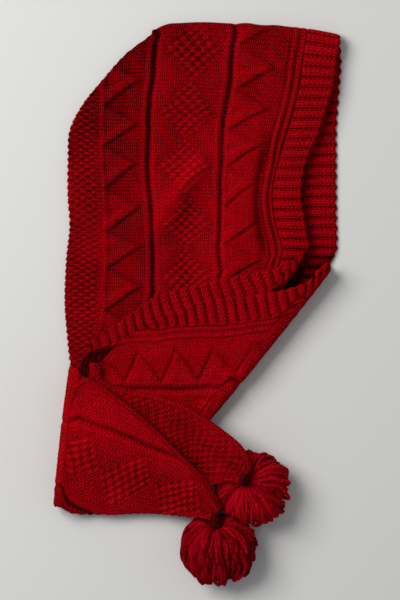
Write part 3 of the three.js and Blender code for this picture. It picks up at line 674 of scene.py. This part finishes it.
# Left half, hood side. Chunky wool, knitted as the right half and laid under it. It lies on the surface
# with its wrong side up, and shows only past the right half's edge.
left_crown = right_crown
left_hood = [
    (-249, 444, 490, 434, 0, 0, 0, 0, 5, 0, 0, 100, 0, 0),
    (-328, 398, 485, 391, 0, 0, 0, 0, 3, 0, 0, 100, 0, 0),
    (-400, 351, 478, 348, 0, 0, 0, 0, 1, 0, 0, 100, 0, 0),
    (-442, 306, 473, 305, 0, 0, 0, 0, 0, 0, 0, 100, 0, 0),
    (-448, 254, 473, 254, 0, 0, 0, 0, 0, 0, 0, 100, 0, 0),
    (-448, 192, 473, 192, 0, 0, 0, 0, 0, 0, 0, 100, 0, 0),
    (-442, 136, 474, 143, 0, 0, 0, 0, 0, 0, 0, 100, 0, 0),
    (-454, 72, 476, 109, 0, 0, 0, 0, 0, 0, 0, 100, 0, 8),
    (-455, -32, 473, 91, 0, 0, 0, 0, 0, 0, 0, 99, 0, 26),
    (-387, -194, 464, 80, 0, 0, 0, 0, 0, 0, 0, 90, 0, 56),
]
left_neck = dict(ridge=(-210, -351, 459, 65), reach=(5, 6), low=(0, 0, 0), high=(3, 10, 62), bow=4, width=74,
                 lead=90, dome=(0, 3))
left_tail = [
    (-242, -350, 380, 39, 3, 2, 62, 3, 0, 0, 0, 70, 0, 85),
    (-277, -348, 309, 24, 3, -4, 62, 3, 0, 0, 0, 65, 0, 78),
    (-308, -345, 177, 12, 3, -6, 61, 3, 0, 0, 0, 60, 0, 68),
    (-338, -342, 26, 4, 3, -8, 58, 3, 0, 0, 0, 55, 0, 56),
    (-366, -341, -112, -23, 3, -10, 50, 3, 0, 0, 0, 50, 0, 45),
    (-393, -339, -256, -65, 3, -8, 40, 3, 0, 0, 0, 45, 0, 34),
]
left_edge = dict(ridge=(-419, -335, -364, -108), reach=(3.5, 6), low=(3, -5, 31), high=(4, 10, 68), bow=1,
                 width=42, lead=25, dome=(3, 5))
left_returned = [
    (-373, -335, -325, -142, 4, 6, 66, 10, 0, 0, 0.35, 40, 0, 20),
    (-318, -334, -256, -162, 4, 4, 66, 12, 0, 0, 0.8, 36, 0, 18),
    (-249, -333, -160, -174, 4, 4, 68, 12, 0, 0, 1, 32, 0, 16),
    (-167, -330, -64, -189, 4, 12, 74, 15, 0, 0, 1, 28, 0, 12),
    (-91, -315, 15, -213, 4, 25, 84, 18, 0, 0, 1, 24, 0.3, 10),
    (-21, -317, 81, -237, 4, 36, 100, 15, 0, 0, 1, 18, 0.7, 8),
    (41, -325, 136, -262, 4, 78, 125, 10, 0, 0, 1, 13, 1, 5),
    (108, -317, 163, -290, 4, 145, 155, 5, 0, 0, 1, 8, 1, 3),
    (132, -321, 167, -303, 4, 168, 168, 3, 0, 0, 1, 6, 1, 2),
]
left_turned = [
    (14, 50), (16.5, 49.8), (15, 47.9), (15, 46.5), (14, 45.7), (8.3, 41.3), (-4, 32.5), (-14, 26),
    (-18, 38), (-18, 44), (-18, 50), (-20, 58), (-23, 68), (-31, 90), (-43, 120), (-70, 190), (-90, 240),
]
left = Strip(-1, left_crown, left_hood, left_neck, left_tail, left_edge, left_returned, left_turned)
left_hood_side = knitted_panel("left_hood_side", left, 0, left.cut, 1.9, 129, RIGHT_PHASES, False, sunk=1.1)
left_hood_side.data.materials.append(wool)
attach(left_hood_side, "root")
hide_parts("left_side")

# Left half, tail side. The same strip goes on below the neck: it comes back over the neck fold with its
# right side up, and its end, folded at the left edge, returns with its wrong side up.
LEFT_PHASES = (36, 26.5, -9, 0.9)
left_tail_side = knitted_panel("left_tail_side", left, left.cut, left.last, 1.45, 101, LEFT_PHASES, False)
left_tail_side.data.materials.append(wool)
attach(left_tail_side, "root")
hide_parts("left_side")

# Left border. The same ribs, knitted square to the left half's free edge. They show beside the face
# opening, round the neck fold and along the tail.
left_rib = ribbed_border("left_rib", left, 0.95, 27, 3)
left_rib.data.materials.append(border_wool)
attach(left_rib, "root")
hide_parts("left_border")

# Ties. Yarn is wound tightly round each tail's gathered end and round the neck of its pompom.
POMPOM_HEIGHT, POMPOM_RADIUS, SAG = 45.0, 37.0, 0.45
TIE_SEATS = {"right": 5.6, "left": 3.4}
TIE_LENGTH = 8.0
WINDING_TURNS, WINDING_RADIUS, WINDING_POINTS = 4.5, 3.9, 110
TIE_YARN_RADIUS, TIE_CORE_RADIUS = 1.3, 3.6
POMPOM_PLACES = {"right": (67, -436), "left": (186, -331)}


def yarn_tubes(name, paths, radii, sides, up, painted_light_offset=0.0):
    """Many strands in one mesh: each path carries rings of points round its direction, the first axis
    square to it and nearest to up, and a fan closes each end. radii holds one radius for each point of
    each path."""
    count, steps = paths.shape[:2]
    ahead = np.gradient(paths, axis=1)
    ahead /= np.linalg.norm(ahead, axis=2, keepdims=True)
    first = up - (up * ahead).sum(2, keepdims=True) * ahead
    first /= np.maximum(np.linalg.norm(first, axis=2, keepdims=True), 1e-6)
    second = np.cross(ahead, first)
    turn = np.arange(sides) / sides * 2 * np.pi
    ring = first[:, :, None] * np.cos(turn)[:, None] + second[:, :, None] * np.sin(turn)[:, None]
    points = paths[:, :, None] + ring * radii[:, :, None, None]
    index = np.arange(count * steps * sides).reshape(count, steps, sides)
    a, b = index[:, :-1], np.roll(index, -1, axis=2)[:, :-1]
    c, d = np.roll(index, -1, axis=2)[:, 1:], index[:, 1:]
    quads = np.stack([a, b, c, d], -1).reshape(-1, 4)
    caps = np.concatenate([index[:, 0, ::-1], index[:, -1]])
    mesh = bpy.data.meshes.new(name)
    mesh.from_pydata((points.reshape(-1, 3) * 0.001).tolist(), [], quads.tolist() + caps.tolist())
    length = np.concatenate([np.zeros((count, 1)), np.cumsum(np.linalg.norm(np.diff(paths, axis=1), axis=2),
                                                             1)], 1)
    # each strand is lighter or darker at random, and the painted light offset is added to the whole piece
    for key, value in (("along", length[:, :, None] + np.zeros((1, 1, sides))),
                       ("round", turn[None, None] + np.zeros((count, steps, 1))),
                       ("tone", painted_light_offset + np.random.default_rng(7).random(count)[:, None, None] + 0
                        * ring[..., 0])):
        layer = mesh.attributes.new(key, "FLOAT", "POINT")
        layer.data.foreach_set("value", value.ravel().astype(np.float32))
    mesh.shade_smooth()
    piece = bpy.data.objects.new(name, mesh)
    bpy.context.scene.collection.objects.link(piece)
    return piece


def loose_yarn(name, deep, bright):
    """Yarn that isn't knitted: two plies twisted round each other, so its height is a sine of the turn plus
    the way along, and each strand is a little lighter or darker at random. Painted shade darkens the grooves
    between the plies, and a piece may carry painted light as a whole."""
    material, tree, shader = woollen(name)
    hairs = noise(Value.of(tree, "ShaderNodeTexCoord", output=3), 1300.0, 3.0, 0.6)
    ply = (attribute(tree, "round") * 2 + attribute(tree, "along") * 1.1).math("SINE")
    shade = 0.40 + ply * 0.12 + (attribute(tree, "tone") - 0.5) * 0.65 + (hairs - 0.5) * 0.5
    colour = Value.of(tree, "ShaderNodeValToRGB", {"stops": [(0.0, deep), (1.0, bright)]}, {"Fac": shade})
    tree.links.new(colour.socket, shader.inputs["Base Color"])
    shader.inputs["Roughness"].default_value = 0.85
    bump = Value.of(tree, "ShaderNodeBump", {}, {"Height": ply * 0.6 + hairs, "Distance": 0.0006,
                                                 "Strength": 0.8})
    tree.links.new(bump.socket, shader.inputs["Normal"])
    return material


tie_yarn = loose_yarn("dark_tie_yarn", (0.008, 0.0008, 0.0014, 1), (0.10, 0.002, 0.006, 1))
pompom_places = {}
for half, strip in (("right", right), ("left", left)):
    x, y = POMPOM_PLACES[half]
    centre = np.array([x * SPREAD_WIDTH / 1000, y * SPREAD_LENGTH / 1000, POMPOM_HEIGHT * SAG])
    tail_end = strip.points(np.array([[0.5]]), np.array([[float(strip.last)]]))[0, 0]
    towards = (centre - tail_end) / np.linalg.norm(centre - tail_end)
    start = tail_end + towards * (TIE_SEATS[half] - 2.5)
    pompom_places[half] = (centre, tail_end + towards * (TIE_SEATS[half] + TIE_LENGTH))
    side_way = np.cross([0, 0, 1], towards)
    side_way /= np.linalg.norm(side_way)
    other_way = np.cross(towards, side_way)
    turn = np.linspace(0, WINDING_TURNS * 2 * np.pi, WINDING_POINTS)
    radius = WINDING_RADIUS + 0.4 * np.sin(turn * 0.37)
    lift = np.linspace(0, TIE_LENGTH + 2, WINDING_POINTS)
    circle = side_way * np.cos(turn)[:, None] + other_way * np.sin(turn)[:, None]
    path = start + towards * lift[:, None] + circle * radius[:, None]
    core = start + towards * np.linspace(-4, TIE_LENGTH + 3, WINDING_POINTS)[:, None]
    radii = np.stack([np.full(WINDING_POINTS, TIE_YARN_RADIUS), TIE_CORE_RADIUS + 0 * lift])
    ups = np.stack([towards + 0 * path, side_way + 0 * path])
    tie = yarn_tubes(f"{half}_winding", np.stack([path, core]), radii, 8, ups)
    tie.data.materials.append(tie_yarn)
    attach(tie, "root")
    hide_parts(f"{half}_tie")

# Pompoms. Each is a bundle of cut yarn fanned out from its tie. It sags to a flat-bottomed ball where it
# lies, and the two press against each other, the left one over the right one.
STRANDS, STRAND_STEPS, TUFTS = 400, 15, 34
LEAN = 0.42
FIRST_POLAR, DIMPLE_POLAR = 0.12, 0.42
UNDER_LAYER, UNDER_THICKER = 0.76, 1.6
pompom_yarn = loose_yarn("red_pompom_yarn", (0.08, 0.0004, 0.0012, 1), (0.62, 0.001, 0.012, 1))
between = pompom_places["left"][0] - pompom_places["right"][0]
for half, sign in (("right", 1), ("left", -1)):
    centre, tie_end = pompom_places[half]
    axis = tie_end - centre
    seat = np.linalg.norm(axis) - GAP
    axis = axis / np.linalg.norm(axis)
    side_way = np.cross([0, 0, 1], axis)
    side_way /= np.linalg.norm(side_way)
    other_way = np.cross(axis, side_way)
    facing = between / np.linalg.norm(between) * sign
    facing[2] = sign * LEAN
    facing /= np.linalg.norm(facing)
    room = abs(between @ facing) / 2 - GAP / 2
    chance = np.random.default_rng(11 if half == "right" else 12)
    tufts = chance.uniform(0, 2 * np.pi, TUFTS)
    tuft = chance.integers(0, len(tufts), STRANDS)
    azimuth = tufts[tuft] + chance.normal(0, 0.10, STRANDS)
    azimuth[::3] = chance.uniform(0, 2 * np.pi, len(azimuth[::3]))
    reach = np.radians(chance.uniform(70, 166, STRANDS))
    layer = chance.uniform(0.80, 1.0, STRANDS)
    layer[1::4] = UNDER_LAYER
    share = np.linspace(0, 1, STRAND_STEPS)[None, :]
    polar = FIRST_POLAR + (reach[:, None] - FIRST_POLAR) * share
    wander = (chance.normal(0, 0.13, STRANDS)[:, None] * share ** 1.5
              + 0.07 * np.sin(polar * chance.uniform(2, 6, STRANDS)[:, None]
                              + chance.uniform(0, 6, STRANDS)[:, None]))
    turn = azimuth[:, None] + wander
    direction = (axis * np.cos(polar)[..., None] + side_way * (np.sin(polar) * np.cos(turn))[..., None]
                 + other_way * (np.sin(polar) * np.sin(turn))[..., None])
    level = np.hypot(direction[..., 0], direction[..., 1]) / POMPOM_RADIUS
    radius = 1 / np.hypot(level, direction[..., 2] / (POMPOM_HEIGHT * (1 - SAG)))
    waves = 0.02 * np.sin(polar * chance.uniform(3, 7, STRANDS)[:, None]
                          + chance.uniform(0, 6, STRANDS)[:, None])
    radius = radius * (layer[:, None] + waves + chance.uniform(0.0, 0.07, STRANDS)[:, None] * share ** 4)
    dimple = 1 / (1 + (polar / DIMPLE_POLAR) ** 4)
    radius = radius * (1 - dimple) + (seat - 2) * dimple
    falls = direction[..., 2] < 0
    thick = chance.uniform(1.6, 2.3, STRANDS)[:, None] * (1 - 0.5 * (1 - share) ** 2)
    thick[1::4] *= UNDER_THICKER
    to_floor = (centre[2] - thick) / np.maximum(-direction[..., 2], 1e-3)
    radius = np.where(falls, np.minimum(radius, to_floor), radius)
    meets = (direction * facing).sum(-1)
    to_other = (room - 1.5) / np.maximum(meets, 1e-3)
    radius = np.where(meets > 0, np.minimum(radius, to_other), radius)
    paths = centre + direction * radius[..., None]
    # painted light and shade: the left pompom, which lies on top, is drawn paler and the right one a little
    # darker
    pompom = yarn_tubes(f"{half}_yarn_pompom", paths, thick, 6, direction,
                        painted_light_offset=0.25 if half == "left" else -0.05)
    pompom.data.materials.append(pompom_yarn)
    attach(pompom, "root")
    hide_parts(f"{half}_pompom")

# Floor. A plain pale surface, wide enough for any view.
floor_mesh = bpy.data.meshes.new("floor")
floor_mesh.from_pydata([(-6, -6, -0.0002), (6, -6, -0.0002), (6, 6, -0.0002), (-6, 6, -0.0002)], [],
                       [(0, 1, 2, 3)])
floor = bpy.data.objects.new("floor", floor_mesh)
bpy.context.scene.collection.objects.link(floor)
paper = bpy.data.materials.new("pale_floor")
paper.use_nodes = True
paper.node_tree.nodes["Principled BSDF"].inputs["Base Color"].default_value = (0.72, 0.72, 0.71, 1)
paper.node_tree.nodes["Principled BSDF"].inputs["Roughness"].default_value = 0.9
floor.data.materials.append(paper)

# Light. A large soft window from the upper left, and an even sky.
world = bpy.data.worlds.new("even_sky")
world.use_nodes = True
world.node_tree.nodes["Background"].inputs["Color"].default_value = (0.95, 0.98, 1.0, 1)
world.node_tree.nodes["Background"].inputs["Strength"].default_value = 0.3
bpy.context.scene.world = world
window = bpy.data.lights.new("window", "AREA")
window.shape = "RECTANGLE"
window.size, window.size_y = 1.3, 1.3
window.energy = 42
window.color = (1.0, 0.985, 0.96)
window_object = bpy.data.objects.new("window", window)
window_object.location = (-1.25, 0.75, 1.6)
bpy.context.scene.collection.objects.link(window_object)
aim = np.array([0, 0, 0]) - np.array(window_object.location)
tilt = math.atan2(math.hypot(aim[0], aim[1]), -aim[2])
window_object.rotation_euler = (tilt, 0, math.atan2(aim[1], aim[0]) - math.pi / 2)

# Camera. Straight above, with a long lens: one pixel of the 400 x 600 picture is 1 mm on the surface.
CAMERA_HEIGHT = 4.0
camera = bpy.data.cameras.new("overhead")
camera.sensor_fit = "VERTICAL"
camera.sensor_height = 24
camera.lens = 24 * CAMERA_HEIGHT / 0.6
camera.clip_end = 50
camera_object = bpy.data.objects.new("overhead", camera)
camera_object.location = (0.0015, 0.002, CAMERA_HEIGHT)
bpy.context.scene.collection.objects.link(camera_object)
bpy.context.scene.camera = camera_object
bpy.context.scene.view_settings.view_transform = "Standard"
